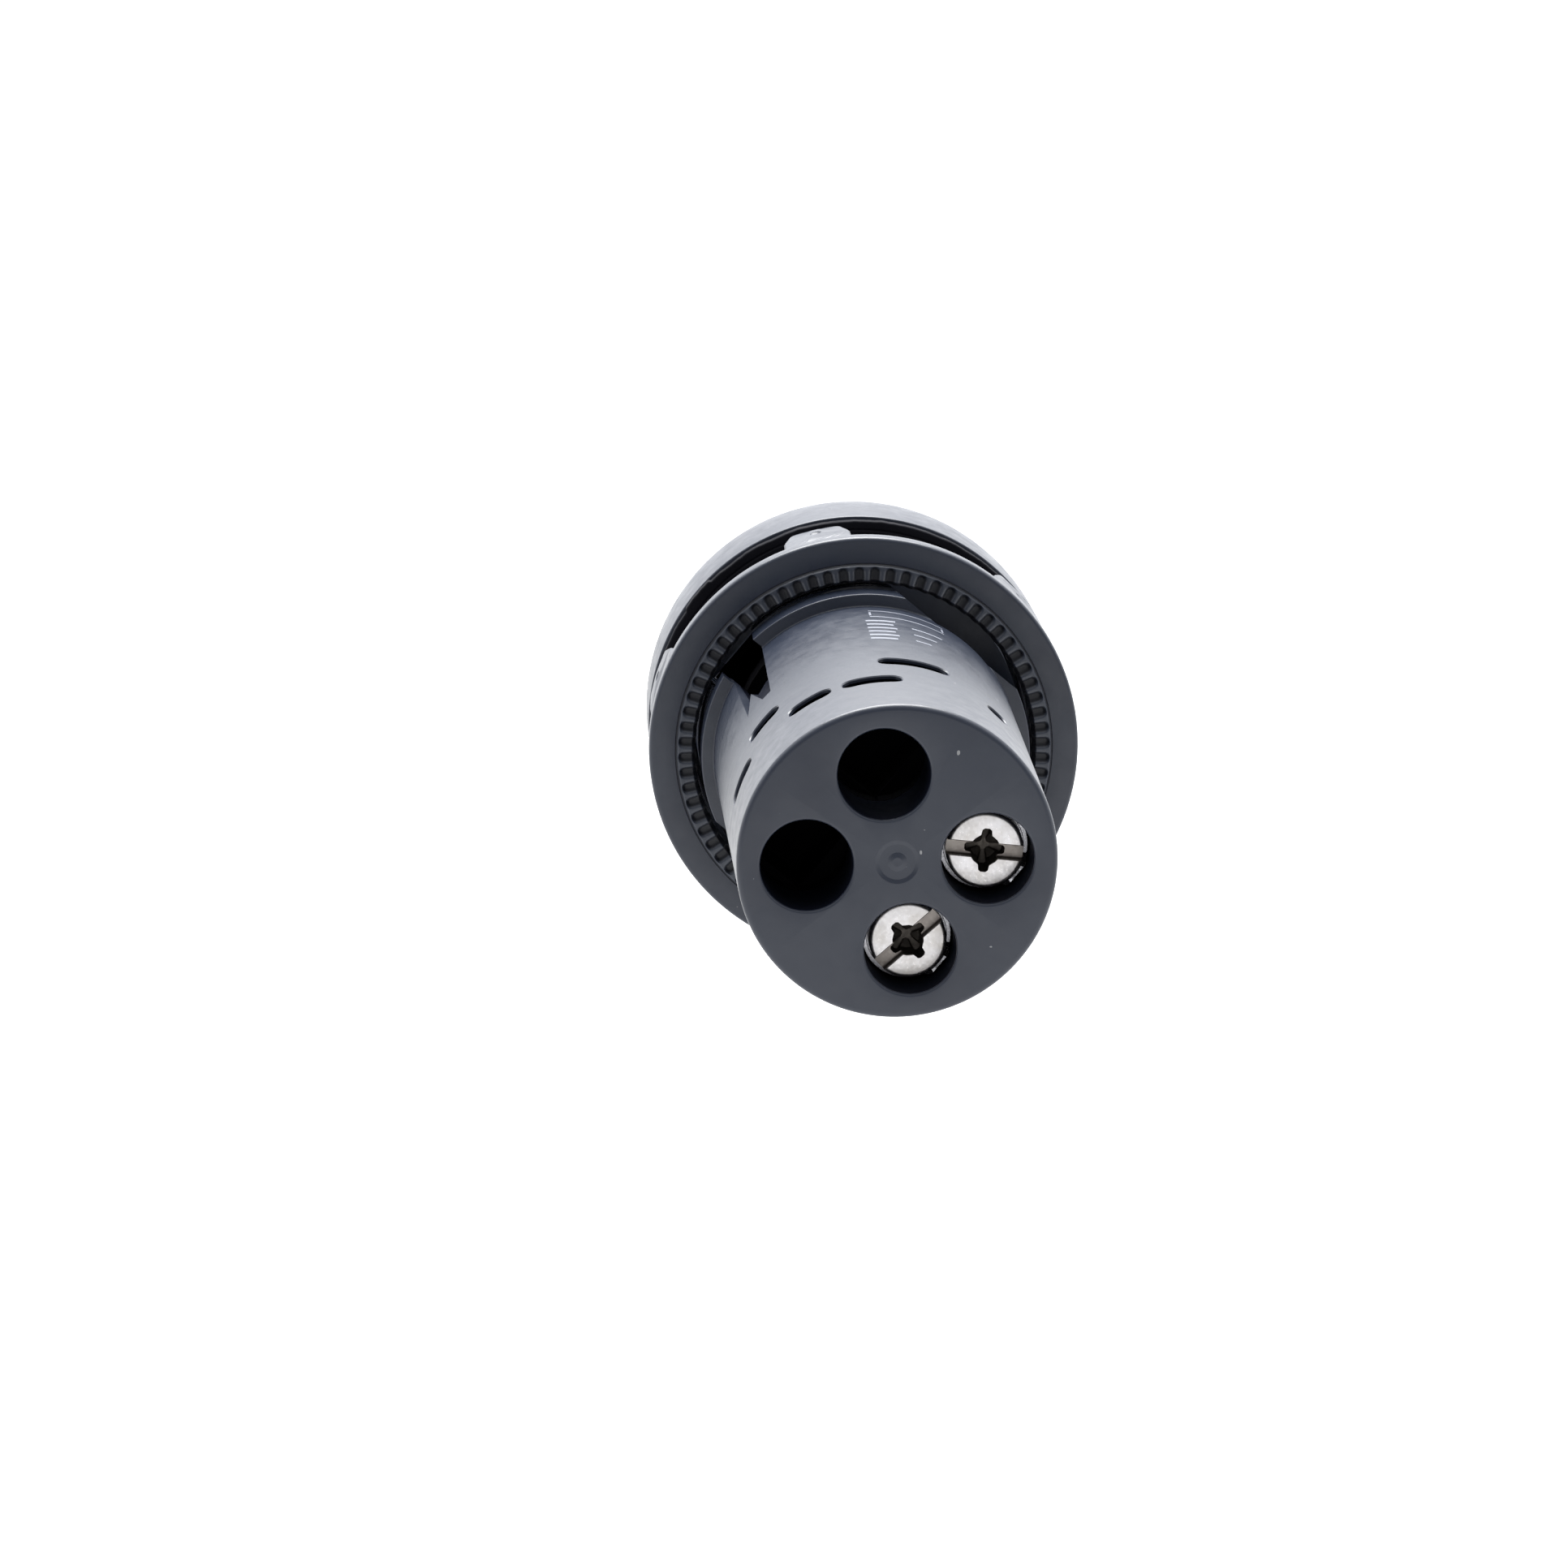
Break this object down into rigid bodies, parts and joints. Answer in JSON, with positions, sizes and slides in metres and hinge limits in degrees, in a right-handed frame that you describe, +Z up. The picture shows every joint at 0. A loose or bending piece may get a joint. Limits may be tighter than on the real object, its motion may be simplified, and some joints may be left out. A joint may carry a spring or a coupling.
{
  "type": "panel push button with screw terminals",
  "caption": "Round panel-mount push button unit: bezel, gasket, ring nut on a threaded barrel, and a cylindrical terminal body with screw wells in its rear face.",
  "frame": {"origin": "on the button's axis, in the plane where the gasket seats on the panel's front face", "axes": "+Y along the button's axis towards the terminals, so the button faces -Y; +Z up"},
  "size_m": [0.029, 0.051, 0.029],
  "materials": {
    "housing_plastic": "satin",
    "button_plastic": "semi-gloss",
    "inner_plastic": "matt",
    "seal_rubber": "matt",
    "nickel_plate": "nickel plated",
    "brass": "rolled",
    "contact_silver": "silver rivet",
    "spring_steel": "drawn wire"
  },
  "bodies": {
    "housing": {"bezel_ring": "housing_plastic", "panel_gasket": "seal_rubber", "barrel_housing": "housing_plastic", "plunger_guide": "inner_plastic", "contact_block": "inner_plastic", "terminal_plate_1": "brass", "terminal_plate_2": "brass", "fixed_contact_tip_1": "contact_silver", "fixed_contact_tip_2": "contact_silver", "return_spring": "spring_steel"},
    "button": {"button_cap": "button_plastic", "plunger": "inner_plastic", "plunger_o_ring": "seal_rubber", "plunger_clip": "spring_steel", "bridge_spring": "spring_steel"},
    "bridge": {"contact_bridge": "brass", "moving_contact_tip_1": "contact_silver", "moving_contact_tip_2": "contact_silver"},
    "nut": {"ring_nut": "housing_plastic"},
    "clamp_1": {"clamp_washer_1": "nickel_plate"},
    "screw_1": {"terminal_screw_1": "nickel_plate"},
    "clamp_2": {"clamp_washer_2": "nickel_plate"},
    "screw_2": {"terminal_screw_2": "nickel_plate"}
  },
  "joints": [
    {"name": "button_press", "type": "slide", "parent": "housing", "child": "button", "axis": [0, 1, 0], "range_m": [0, 0.004], "stiffness_N_per_m": 600, "springref_m": -0.003, "deforming": ["return_spring"]},
    {"name": "bridge_overtravel", "type": "slide", "parent": "button", "child": "bridge", "axis": [0, 1, 0], "range_m": [-0.0012, 0], "deforming": ["bridge_spring"]},
    {"name": "nut_travel", "type": "slide", "parent": "housing", "child": "nut", "axis": [0, 1, 0], "range_m": [-0.0024, 0.003]},
    {"name": "clamp_1_slide", "type": "slide", "parent": "housing", "child": "clamp_1", "axis": [0, -1, 0], "range_m": [-0.0004, 0.0022]},
    {"name": "screw_1_turn", "type": "hinge", "parent": "clamp_1", "child": "screw_1", "pos_m": [-0.00574, 0.038, 0.00015], "axis": [0, -1, 0], "range_deg": [-241, 1321]},
    {"name": "clamp_2_slide", "type": "slide", "parent": "housing", "child": "clamp_2", "axis": [0, -1, 0], "range_m": [-0.0004, 0.0022]},
    {"name": "screw_2_turn", "type": "hinge", "parent": "clamp_2", "child": "screw_2", "pos_m": [-0.00085, 0.038, -0.00568], "axis": [0, -1, 0], "range_deg": [-241, 1321]}
  ],
  "couplings": [
    {"joint": "bridge_overtravel", "follows": "button_press", "ratio": -0.3},
    {"joint": "screw_1_turn", "follows": "clamp_1_slide", "rad_per_m": 10472},
    {"joint": "screw_2_turn", "follows": "clamp_2_slide", "rad_per_m": 10472}
  ]
}
